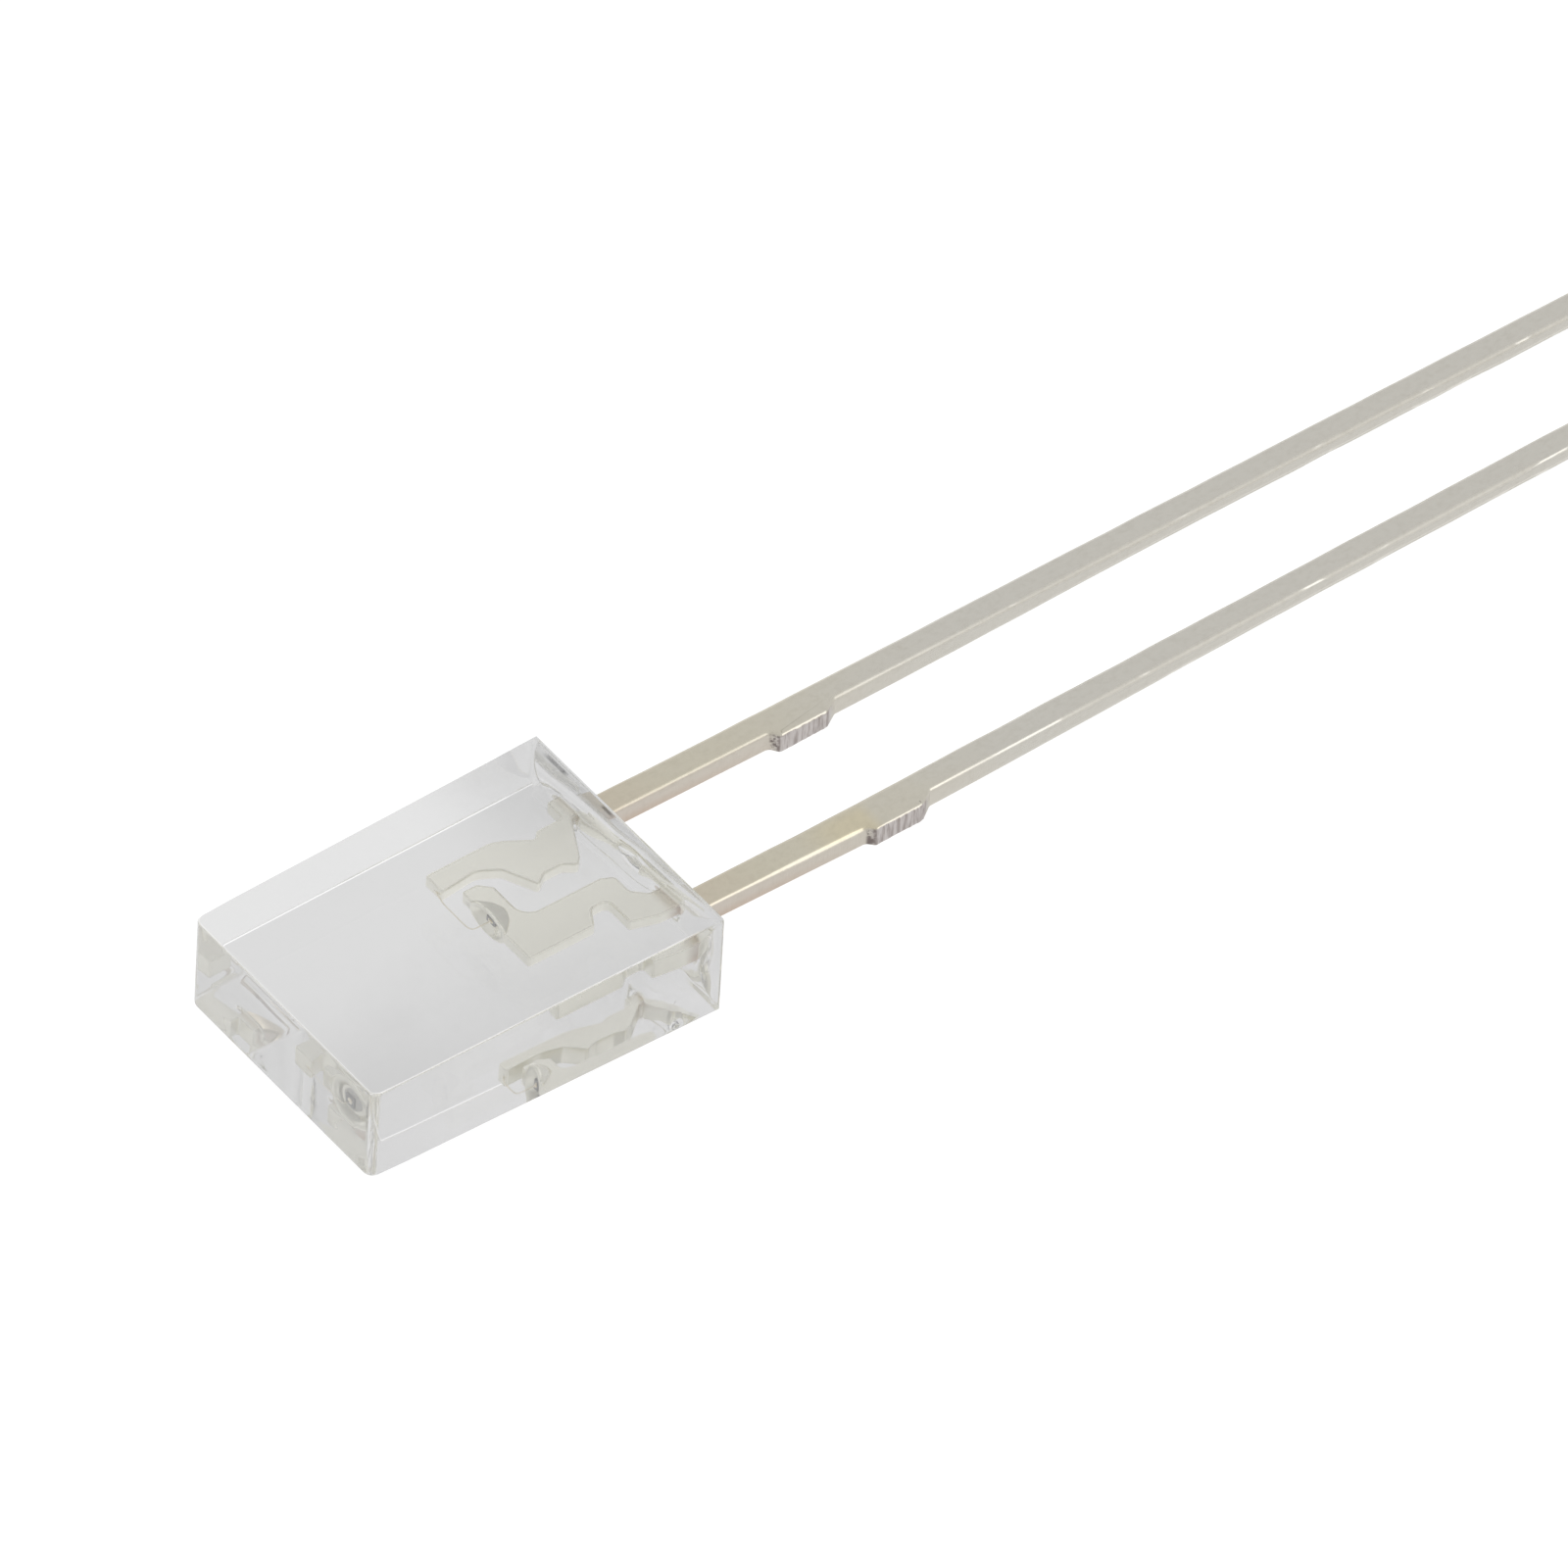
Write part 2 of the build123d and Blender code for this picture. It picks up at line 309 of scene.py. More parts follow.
def clear_resin(settings):
    """Water-clear resin under a painted glow, with painted shade towards the right, the front right and the
    back left, painted highlights on its eased edges and painted dark reflections on its top near the seating
    end.
    """
    recipe, shader, material = surface("clear_resin")
    position, (across, along, _) = recipe.place()
    aside, facing_out, up = recipe.facing()
    cloud = recipe.grain(position, (0.7, 0.35, 0.7), 2.0)
    fine = recipe.grain(position, (6.0, 6.0, 6.0), 2.0)
    slow = recipe.grain(position, (0.45, 0.18, 0.45), 1.0)

    # painted shade: the glow thinner and the tint deeper towards the right, the front right and the back
    # left, in random patches
    right = across.step(-1.6, 3.2) * 0.70
    front_right = across.step(0.2, 2.6) * (1.0 - along.step(-6.9, -4.4)) * 0.35
    back_left = along.step(-2.6, -0.6) * (1.0 - across.step(-1.4, 0.8)) * 0.95
    spots = (cloud - 0.5) * 0.8 + (fine - 0.5) * 0.2
    depth = (right + front_right + back_left + spots).step(0.0, 1.0)

    # painted light: the emitting face gets a full glow over a darker tint, and the eased edges a painted
    # highlight, a full glow over a paler base colour
    end = 1.0 - facing_out.step(-0.9, -0.5)
    edge_highlight = 1.0 - along.step(-0.55, -0.45)
    for part in (aside, facing_out, up):
        edge_highlight = edge_highlight * (1.0 - abs(part).step(0.93, 0.99))
    edge_highlight = edge_highlight * (0.4 + abs(up).step(0.10, 0.30) * 0.6)

    # painted dark reflections on the top face: a streak near the far corner and a spot at the anode's root
    corner_reflection = (1.0 - abs(across + 1.78).step(0.16, 0.38)) * (1.0 - abs(along + 0.125).step(0.018, 0.055))
    spot = (1.0 - abs(across + 0.50).step(0.08, 0.19)) * (1.0 - abs(along + 0.080).step(0.014, 0.044))
    dark = (corner_reflection + spot) * up.step(0.90, 0.97) * (0.55 + fine * 0.7)

    # painted glow: the resin emits a faint veil of light of its own
    painted_glow = recipe.blend(depth, grey(0.75), grey(0.57))
    painted_glow = recipe.blend(end + edge_highlight, painted_glow, grey(1.0))
    painted_glow = recipe.blend(dark, painted_glow, grey(0.20))
    inner_side = recipe.term(recipe.add("ShaderNodeNewGeometry"), "Backfacing")
    body = recipe.blend(depth, opaque(settings.tint), opaque(settings.shaded_tint))
    body = recipe.blend(end, body, opaque(settings.painted_end_tint))
    body = recipe.blend(dark, body, grey(0.12))
    feed(
        recipe, shader,
        Base_Color=recipe.blend(edge_highlight, body, grey(0.96)),
        Roughness=0.001 + fine * 0.004,
        IOR=settings.ior,
        Transmission_Weight=1.0,
        Emission_Color=recipe.blend(inner_side, painted_glow, grey(settings.inner_glow)),
        Emission_Strength=settings.resin_glow,
        Normal=recipe.bump(slow, 0.0015),
    )
    material.cycles.emission_sampling = "NONE"
    return material


def plated_steel(settings):
    """Satin plating, warm near the block and tinned further out, with sheared sides, painted shade on the
    rolled edges that face -X near the block and at each stub's near corner.
    """
    recipe, shader, material = surface("plated_steel")
    position, (across, along, height) = recipe.place()
    aside, _, up = recipe.facing()
    cloud = recipe.grain(position, (1.1, 0.45, 1.1), 3.0)
    rolled = recipe.grain(position, (26.0, 1.2, 26.0), 4.0)
    struck = recipe.grain(position, (3.0, 15.0, 1.6), 3.0, 0.6)
    specks = recipe.grain(position, (9.0, 7.0, 9.0), 3.0, 0.7)
    waves = recipe.grain(position, (3.0, 0.75, 3.0), 2.0, 0.6)

    # zones along the strip, and which way its surface faces
    near = 1.0 - (along + cloud * 4.0).step(2.5, 10.0)
    dipped = along.step(4.5, 9.0)
    inside = 1.0 - along.step(-0.45, -0.15)
    outside = 1.0 - inside
    stub = along.step(STUB_START, STUB_FULL) * (1.0 - along.step(4.70, 4.90))
    root = 1.0 - (along + struck * 0.8).step(0.6, 2.4)
    low = 1.0 - height.step(-0.14, 0.10)
    head = inside * height.step(0.255, 0.29) * along.step(-2.79, -2.74)
    cathode = across.step(0.9, 1.3)
    anode = 1.0 - across.step(-0.2, 0.2)
    sheared = 1.0 - abs(up).step(0.25, 0.75)
    edge = abs(up).step(0.10, 0.35) * (1.0 - abs(up).step(0.85, 0.98))
    shaded_left_edge = edge * near * (1.0 - aside.step(-0.5, -0.1))

    # colour: plating, heat stains, bare metal where the sides were sheared, and painted shade
    tone = recipe.blend(near, opaque(settings.plating), opaque(settings.heat))
    tone = recipe.blend(root * 0.6, tone, opaque((0.74, 0.655, 0.53)))
    stain = along.step(2.3, 3.3) * (1.0 - along.step(3.65, 3.95)) * cathode * (1.0 - sheared)
    tone = recipe.blend(stain * 0.8, tone, opaque((0.80, 0.72, 0.52)))
    side = sheared * near * (1.0 - stub)
    tone = recipe.blend(side * 0.75, tone, opaque((0.75, 0.695, 0.64)))
    bare = side * (0.15 + low * 0.85) * (1.0 - (along + struck * 2.0).step(1.5, 6.5))
    tone = recipe.blend(bare * (0.4 + struck * 0.6), tone, opaque(settings.copper))
    # painted shade: the rolled edges that face -X near the block are darker and warmer
    tone = recipe.blend(shaded_left_edge, tone, opaque((0.60, 0.555, 0.45)))
    dark_mark, pale_mark = opaque((0.44, 0.39, 0.37)), opaque((0.70, 0.655, 0.635))
    marks = recipe.blend(struck.step(0.40, 0.60), dark_mark, pale_mark)
    tone = recipe.blend(stub * sheared, tone, marks)
    # painted shade: a dark speckled band at the stub's near corner, where the sheared side turns out
    nick_shade = along.step(3.58, 3.63) * (1.0 - along.step(3.67, 3.75)) * sheared * specks.step(0.40, 0.55)
    tone = recipe.blend(nick_shade, tone, opaque((0.24, 0.20, 0.19)))
    tone = recipe.blend(inside, tone, opaque(settings.silver))
    tone = recipe.blend(specks.step(0.40, 0.80) * 0.14 * outside, tone, opaque((0.42, 0.37, 0.29)))

    # finish: rolled faces, scraped sides, tinned edges that break the light up
    scraped = sheared * struck * (1.0 - dipped)
    broken = (1.0 - waves.step(0.58, 0.66)) * dipped * edge
    dull = anode * edge * (1.0 - dipped) * (1.0 - stub)
    roughness = 0.20 + rolled * 0.10 + scraped * 0.12 + broken * 0.36 + dull * 0.14 + head * 0.45
    lines = rolled * (1.0 - sheared) * 0.35 + scraped * 1.2 + specks * 0.3
    feed(
        recipe, shader,
        Base_Color=tone,
        Metallic=1.0 - head * 0.75,
        Roughness=roughness,
        Normal=recipe.bump(lines * outside, 0.004),
    )
    return material


def chip_finish(settings):
    """Dark crystal with sawn sides."""
    recipe, shader, material = surface("semiconductor")
    position, _ = recipe.place()
    sawn = recipe.grain(position, (12.0, 70.0, 12.0), 3.0)
    tone = recipe.blend(sawn, opaque(settings.chip_colour), grey(0.14))
    feed(
        recipe, shader,
        Base_Color=tone, Roughness=0.22 + sawn * 0.2, IOR=2.4, Normal=recipe.bump(sawn, 0.002),
    )
    return material


def paste_finish(settings):
    """Cured adhesive with metal flakes in it."""
    recipe, shader, material = surface("silver_adhesive")
    position, _ = recipe.place()
    flakes = recipe.grain(position, (60.0, 60.0, 60.0), 4.0, 0.7)
    flake_colour = opaque((0.88, 0.87, 0.84))
    tone = recipe.blend(flakes.step(0.35, 0.7), opaque(settings.paste_colour), flake_colour)
    feed(
        recipe, shader,
        Base_Color=tone, Metallic=0.30, Roughness=0.55 - flakes * 0.2, Normal=recipe.bump(flakes, 0.006),
    )
    return material


def gold_finish(settings):
    """Drawn gold."""
    recipe, shader, material = surface("gold_wire")
    position, _ = recipe.place()
    drawn = recipe.grain(position, (30.0, 30.0, 30.0), 3.0)
    tone = recipe.blend(drawn, opaque(settings.gold_colour), opaque((0.93, 0.86, 0.70)))
    feed(
        recipe, shader,
        Base_Color=tone, Metallic=1.0, Roughness=0.16 + drawn * 0.14, Normal=recipe.bump(drawn, 0.001),
    )
    return material


# Mesh helpers

def make_piece(name, mesh, material, slot, *nodes):
    """Put a finished mesh in the scene as a piece of the object that stands for CAD nodes."""
    mesh.name = name
    mesh.materials.clear()
    mesh.materials.append(material)
    piece = bpy.data.objects.new(name, mesh)
    bpy.context.scene.collection.objects.link(piece)
    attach(piece, "root")
    if nodes:
        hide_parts(*nodes)


def skin(rings, smooth_angle=35.0):
    """Closed mesh over rings of equal numbers of points."""
    count = len(rings[0])
    points = [Vector(point) for ring in rings for point in ring]
    faces = []
    for level in range(len(rings) - 1):
        low = level * count
        for one in range(count):
            two = (one + 1) % count
            faces.append((low + one, low + two, low + count + two, low + count + one))
    faces.append(tuple(reversed(range(count))))
    faces.append(tuple(range(len(points) - count, len(points))))
    mesh = bpy.data.meshes.new("skin")
    mesh.from_pydata(points, [], faces)
    return tidy(mesh, smooth_angle)


def tidy(mesh, smooth_angle=35.0):
    """Merge doubles, turn the faces outwards and shade smooth up to an angle, with flat faces left flat."""
    work = bmesh.new()
    work.from_mesh(mesh)
    bmesh.ops.remove_doubles(work, verts=work.verts, dist=0.0002 * MM)
    bmesh.ops.recalc_face_normals(work, faces=work.faces)
    for face in work.faces:
        face.smooth = True
    work.to_mesh(mesh)
    work.free()
    mesh.set_sharp_from_angle(angle=math.radians(smooth_angle))
    return evaluated(mesh, weigh_normals)


def weigh_normals(work):
    """Let the larger faces set the shading where they meet smaller ones."""
    step = work.modifiers.new("weigh", "WEIGHTED_NORMAL")
    step.weight = 100
    step.keep_sharp = True


def evaluated(data, prepare):
    """Mesh that results when prepare has put its modifiers on a passing object with this data."""
    work = bpy.data.objects.new("work", data)
    bpy.context.scene.collection.objects.link(work)
    others = prepare(work) or []
    bpy.context.view_layer.update()
    shape = work.evaluated_get(bpy.context.evaluated_depsgraph_get())
    result = bpy.data.meshes.new_from_object(shape)
    for one in (work, *others):
        bpy.data.objects.remove(one)
    return result


def rounded_rectangle(half_x, half_z, radius, arc=10, long_steps=40, short_steps=16):
    """Points round a rectangle with rounded corners, counter-clockwise from +X."""
    radius = max(min(radius, half_x * 0.999, half_z * 0.999), 0.0001 * MM)
    inner_x = half_x - radius
    inner_z = half_z - radius
    corners = (
        (inner_x, inner_z, 0),
        (-inner_x, inner_z, 90),
        (-inner_x, -inner_z, 180),
        (inner_x, -inner_z, 270),
    )
    starts = ((-inner_x, half_z), (-half_x, -inner_z), (inner_x, -half_z), (half_x, inner_z))
    points = []
    for (centre_x, centre_z, start), following in zip(corners, starts):
        for step in range(arc + 1):
            angle = math.radians(start + 90 * step / arc)
            points.append((centre_x + radius * math.cos(angle), centre_z + radius * math.sin(angle)))
        steps = long_steps if start in (0, 180) else short_steps
        last = points[-1]
        for step in range(1, steps):
            part = step / steps
            points.append(
                (last[0] + (following[0] - last[0]) * part, last[1] + (following[1] - last[1]) * part)
            )
    return points


def lathe(profile, height, turns=56):
    """Solid of revolution about the line along Y at this height, from (radius, y) points in millimetres."""
    rings = []
    for radius_mm, y_mm in profile:
        radius = max(radius_mm, 0.0001) * MM
        y = y_mm * MM
        ring = []
        for step in range(turns):
            angle = 2 * math.pi * step / turns
            ring.append((radius * math.cos(angle), y, height + radius * math.sin(angle)))
        rings.append(ring)
    return skin(rings)


def softened(profile, radii, steps=6):
    """A line of (radius, y) points with its corners rounded."""
    points = []
    for index, (corner, radius) in enumerate(zip(profile, radii)):
        if radius == 0:
            points.append(corner)
            continue
        here = Vector(corner)
        before = (Vector(profile[index - 1]) - here).normalized()
        after = (Vector(profile[index + 1]) - here).normalized()
        half = before.angle(after) / 2
        reach = radius / math.tan(half)
        for step in range(steps + 1):
            part = step / steps
            start = here + before * reach
            end = here + after * reach
            # a quadratic curve that touches both runs
            point = start * (1 - part) ** 2 + here * 2 * part * (1 - part) + end * part**2
            points.append(tuple(point))
    return points


# The resin block

def block_rings(settings):
    """Rings of the block from the middle of the emitting face round to the middle of the hollow end."""
    slope = math.tan(settings.draft)
    end = -settings.height

    def halves(y):
        return settings.width / 2 + slope * y, settings.thickness / 2 + slope * y

    rings = []
    end_x, end_z = halves(end)
    face_steps = 10
    for step in range(1, face_steps + 1):
        part = step / face_steps
        flat = rounded_rectangle(
            (end_x - settings.corner) * part, (end_z - settings.edge) * part, 0.10 * MM * part
        )
        rings.append([(x, end, z) for x, z in flat])
    round_steps = 12
    for step in range(1, round_steps + 1):
        angle = math.pi / 2 * step / round_steps
        back = settings.corner * (1 - math.cos(angle))
        inset_x = settings.corner * (1 - math.sin(angle))
        short = settings.edge - min(back, settings.edge)
        inset_z = settings.edge - math.sqrt(max(settings.edge**2 - short**2, 0))
        half_x, half_z = halves(end + back)
        flat = rounded_rectangle(half_x - inset_x, half_z - inset_z, settings.edge * 1.5)
        rings.append([(x, end + back, z) for x, z in flat])
    side_steps = 12
    for step in range(1, side_steps + 1):
        y = end + settings.corner + (settings.height - settings.corner) * step / side_steps
        half_x, half_z = halves(y)
        rings.append([(x, y, z) for x, z in rounded_rectangle(half_x, half_z, settings.edge)])
    half_x, half_z = halves(0)
    for inset in (0.25, 0.6, 1.0):
        flat = rounded_rectangle(
            half_x - settings.rim * inset, half_z - settings.rim * inset, settings.edge
        )
        rings.append([(x, 0, z) for x, z in flat])
    inner_x = half_x - settings.rim
    inner_z = half_z - settings.rim
    dish_steps = 46
    for step in range(1, dish_steps):
        part = step / dish_steps
        inset = settings.rim + (half_z - settings.rim) * part
        flat = rounded_rectangle(half_x - inset, half_z - inset, (0.06 + 0.5 * part) * MM)
        rings.append([(x, dish_height(settings, x, z, inner_x, inner_z), z) for x, z in flat])
    return rings


def dish_height(settings, x, z, inner_x, inner_z):
    """Surface of the hollow end, which falls away from the wall and is drawn up round each lead."""
    strip = bpy.context.scene.diode_strip
    from_wall = max(min(inner_x - abs(x), inner_z - abs(z)), 0)
    deep = settings.dish - math.tan(settings.dish_tilt) * x
    y = -deep * (1 - math.exp(-from_wall / settings.dish_fade))
    for lead_x in (-strip.pitch / 2, strip.pitch / 2):
        gap_x = max(abs(x - lead_x) - strip.lead / 2, 0)
        gap_z = max(abs(z - strip.rise) - strip.sheet / 2, 0)
        y += settings.climb * math.exp(-math.hypot(gap_x, gap_z) / settings.climb_fade)
    wave = noise.noise(Vector((x / MM * 1.5, z / MM * 1.7, 4.2)))
    return y + settings.ripple * wave * (1 - math.exp(-from_wall / settings.dish_fade))


class DIODE_OT_resin_block(bpy.types.Operator):
    """Build the clear block with its hollow seating end"""

    bl_idname = "diode.resin_block"
    bl_label = "Resin block"

    def execute(self, context):
        settings = context.scene.diode_block
        mesh = skin(block_rings(settings), smooth_angle=60.0)
        make_piece("resin_block", mesh, clear_resin(settings), "clear_resin", "epoxy_body")
        return {"FINISHED"}


# The stamped leads, outlines in millimetres as (x, y, corner radius), counter-clockwise

ANODE_LENGTH = 26.9
CATHODE_LENGTH = 25.4
STUB_START = 3.60
STUB_FULL = 3.72
STUB_FADE = 4.67
STUB_END = 4.95
LEAN_START = 3.0


def lead_run(settings, centre, lead_length, lean, swell):
    """Corners of one lead outside the block, with its cut stub, leaning by some degrees towards -X."""
    half = settings.lead / MM / 2
    half_tip = settings.tip / MM / 2
    half_run = half - (half - half_tip) / 3
    slope = math.tan(math.radians(lean))
    tip = centre - (lead_length - LEAN_START) * slope
    past_stub = centre - (STUB_END - LEAN_START) * slope
    return [
        (centre + half + swell, STUB_START, 0.12),
        (centre + half + 0.17, STUB_FULL, 0.10),
        (centre + half + 0.15, STUB_FADE, 0.10),
        (past_stub + half_run, STUB_END, 0.12),
        (tip + half_tip, lead_length, 0.10),
        (tip - half_tip, lead_length, 0.10),
        (centre - half, LEAN_START, 2.0),
    ]


def post_outline(settings):
    """Anode lead with its post: slim finger, lobe and notch."""
    centre = -settings.pitch / MM / 2
    half = settings.lead / MM / 2
    return [
        (-1.33, -3.06, 0.06), (-0.87, -3.06, 0.06), (-0.94, -2.33, 0.30), (-0.7375, -1.98, 0.12),
        (-0.13, -1.68, 0.06), (-0.28, -1.465, 0.12), (-0.28, -1.115, 0.12), (-0.13, -0.90, 0.06),
        (-0.26, -0.77, 0.06), (centre + half, -0.36, 0.12),
        *lead_run(settings, centre, ANODE_LENGTH, lean=0.5, swell=0.0),
        (centre - half, -0.50, 0.06), (-1.11, -0.50, 0.06), (-1.11, -1.00, 0.06), (-0.98, -1.13, 0.06),
        (-1.25, -1.58, 0.12), (-1.33, -1.78, 0.30),
    ]


def anvil_outline(settings):
    """Cathode lead with its wide anvil on a column."""
    centre = settings.pitch / MM / 2
    half = settings.lead / MM / 2
    return [
        (-0.70, -2.80, 0.06), (1.10, -2.80, 0.06), (1.10, -1.50, 0.06), (0.77, -1.32, 0.12),
        (0.77, -1.00, 0.12), (centre + half - 0.16, -1.00, 0.06), (centre + half, -0.50, 0.30),
        *lead_run(settings, centre, CATHODE_LENGTH, lean=1.2, swell=0.04),
        (centre - half, -0.36, 0.12), (centre - half - 0.22, -0.58, 0.12), (0.42, -0.58, 0.12),
        (0.31, -0.80, 0.12), (0.31, -2.30, 0.30), (-0.50, -2.30, 0.06), (-0.70, -2.50, 0.06),
    ]


def on_stub(y, normal_x, margin=0.0):
    """Whether a point of the outline is on the cut face of a stub."""
    return 3.70 - margin < y < 4.70 + margin and normal_x > 0.9


def traced(corners, pace=0.2, stub_pace=0.018):
    """Points (x, y, normal x, normal y, limit) along a rounded outline.

    The limit is the widest rolled edge that fits at the point.
    """
    count = len(corners)
    trace = []
    tight = []
    for index, (x, y, radius) in enumerate(corners):
        here = Vector((x, y))
        back = here - Vector(corners[index - 1][:2])
        on = Vector(corners[(index + 1) % count][:2]) - here
        back.normalize()
        on.normalize()
        bend = math.atan2(back.x * on.y - back.y * on.x, back.dot(on))
        reach = radius * math.tan(abs(bend) / 2)
        sign = 1 if bend > 0 else -1
        start = here - back * reach
        normal = Vector((back.y, -back.x))
        centre = start - normal * radius * sign
        steps = max(2, math.ceil(abs(bend) / math.radians(12)))
        for step in range(steps + 1):
            angle = bend * step / steps
            turned = Matrix.Rotation(angle, 2) @ normal
            trace.append((*(centre + turned * radius * sign), *turned))
        if sign > 0:
            tight.append((x, y, radius))
    full = []
    for index, (x, y, normal_x, normal_y) in enumerate(trace):
        full.append((x, y, normal_x, normal_y))
        next_x, next_y = trace[(index + 1) % len(trace)][:2]
        run = math.hypot(next_x - x, next_y - y)
        close = on_stub(y, normal_x) and next_y < 4.75
        steps = math.ceil(run / (stub_pace if close else pace))
        for step in range(1, steps):
            part = step / steps
            full.append((x + (next_x - x) * part, y + (next_y - y) * part, normal_x, normal_y))
    limited = []
    for x, y, normal_x, normal_y in full:
        limit = min(0.93 * r + 0.5 * max(math.hypot(x - cx, y - cy) - r, 0) for cx, cy, r in tight)
        limited.append((x, y, normal_x, normal_y, limit))
    return limited


def eased(value, low, high):
    """0 below low, 1 above high, smooth between."""
    part = min(max((value - low) / (high - low), 0), 1)
    return part * part * (3 - 2 * part)


def stamped(settings, corners, seed, broad):
    """Punched strip: rolled upper edge, upright sheared wall, and all edges round where it is tinned.

    The rolled edge is wider by up to broad on the side with the stub, before it.
    """
    trace = traced(corners)
    sheet = settings.sheet / MM
    top = settings.rise / MM + sheet / 2
    bottom = top - sheet
    inner, outer = settings.roll / MM, settings.outer_roll / MM
    burr = settings.burr / MM
    tinned_top, tinned_foot = settings.tinned_top / MM, settings.tinned_foot / MM
    ridges = settings.ridges / MM
    columns = []
    for x, y, normal_x, normal_y, limit in trace:
        uneven = noise.noise(Vector((x * 1.7, y * 1.3, seed)))
        outside = eased(y, -0.6, 0.4)
        dipped = eased(y, 5.0, 13.0)
        before_stub = eased(y, 0.8, 3.2) * (1 - eased(y, 3.5, 3.8))
        upper = inner + (outer - inner) * outside + broad * before_stub * max(normal_x, 0)
        upper = min((upper + (tinned_top - upper) * dipped) * (1 + 0.22 * uneven), limit)
        lower = min((burr + (tinned_foot - burr) * dipped) * (1 + 0.15 * uneven), limit)
        cut = on_stub(y, normal_x, margin=0.02)
        column = []
        for step in range(8):
            angle = math.pi / 2 * step / 7
            column.append((top - upper * (1 - math.cos(angle)), upper * (1 - math.sin(angle))))
        for step in range(1, 4):
            column.append((top - upper + (bottom + lower - top + upper) * step / 4, 0.0))
        for step in range(6):
            angle = math.pi / 2 * step / 5
            column.append((bottom + lower * (1 - math.sin(angle)), lower * (1 - math.cos(angle))))
        points = []
        for level, (z, inset) in enumerate(column):
            if cut and level > 4:
                inset += ridges * (0.5 + noise.noise(Vector((seed, y * 14.0, z * 1.6))))
            points.append(((x - normal_x * inset) * MM, (y - normal_y * inset) * MM, z * MM))
        columns.append(points)
    return skin([list(ring) for ring in zip(*columns)])


def joined(base, *steps):
    """Mesh of the base with others added to it or cut from it, as (operation, mesh) steps."""

    def prepare(work):
        others = []
        for operation, mesh in steps:
            other = bpy.data.objects.new("other", mesh)
            bpy.context.scene.collection.objects.link(other)
            others.append(other)
            step = work.modifiers.new("step", "BOOLEAN")
            step.operation = operation
            step.solver = "EXACT"
            step.object = other
        return others

    return tidy(evaluated(base, prepare))


HEAD_FACE = -2.81
HEAD_RADIUS = 0.48
CUP_FLOOR = -2.59
CHIP_BACK = -2.61


def head_mesh(settings):
    """Coined head that fades back into the strip."""
    profile = [
        (0.0, HEAD_FACE), (HEAD_RADIUS, HEAD_FACE), (HEAD_RADIUS, -2.75),
        (0.33, -2.56), (0.18, -2.44), (0.0, -2.44),
    ]
    return lathe(softened(profile, [0, 0.03, 0.04, 0.08, 0, 0]), settings.rise)


def cup_mesh(settings):
    """Tapered pocket of the reflector, with a soft floor corner."""
    profile = [(0.0, -2.90), (0.425, -2.90), (0.27, CUP_FLOOR), (0.0, CUP_FLOOR)]
    return lathe(softened(profile, [0, 0, 0.03, 0]), settings.rise)


class DIODE_OT_stamped_leads(bpy.types.Operator):
    """Build both leads with post, anvil and reflector cup"""

    bl_idname = "diode.stamped_leads"
    bl_label = "Stamped leads"

    def execute(self, context):
        settings = context.scene.diode_strip
        finish = plated_steel(settings)
        post = stamped(settings, post_outline(settings), seed=3.1, broad=0.0)
        make_piece("anode_stamping", post, finish, "plated_steel", "anode_lead")
        anvil = stamped(settings, anvil_outline(settings), seed=8.4, broad=0.09)
        steps = (("UNION", head_mesh(settings)), ("DIFFERENCE", cup_mesh(settings)))
        make_piece("cathode_stamping", joined(anvil, *steps), finish, "plated_steel", "cathode_lead")
        return {"FINISHED"}


# Chip, adhesive and wire

def square_ring(half, radius, y, height):
    """Rounded square ring across the cup's axis."""
    flat = rounded_rectangle(half, half, radius, arc=6, long_steps=4, short_steps=4)
    return [(x, y, height + z) for x, z in flat]


def chip_mesh(die, height):
    """Sawn chip with eased edges."""
    half = die.side / 2
    ease = 0.006 * MM
    back = CHIP_BACK * MM
    front = back - die.depth
    levels = ((back, half - ease), (back - ease, half), (front + ease, half), (front, half - ease))
    return skin([square_ring(size, 0.01 * MM, y, height) for y, size in levels])


def paste_mesh(die, height):
    """Adhesive that climbs the chip's sides from a round foot."""
    floor = CUP_FLOOR * MM
    brow = -2.65 * MM
    chip_half = die.side / 2
    rings = []
    steps = 8
    for step in range(steps + 1):
        part = step / steps
        y = floor + (brow - floor) * (1 - math.sqrt(1 - part * part)) if part < 1 else brow
        half = die.adhesive + (chip_half + 0.004 * MM - die.adhesive) * part
        radius = half * (1 - part) + 0.03 * MM * part
        rings.append(square_ring(half, radius, y, height))
    rings.append(square_ring(chip_half - 0.004 * MM, 0.02 * MM, -2.612 * MM, height))
    rings.append(square_ring(chip_half - 0.02 * MM, 0.02 * MM, -2.611 * MM, height))
    return skin(rings)


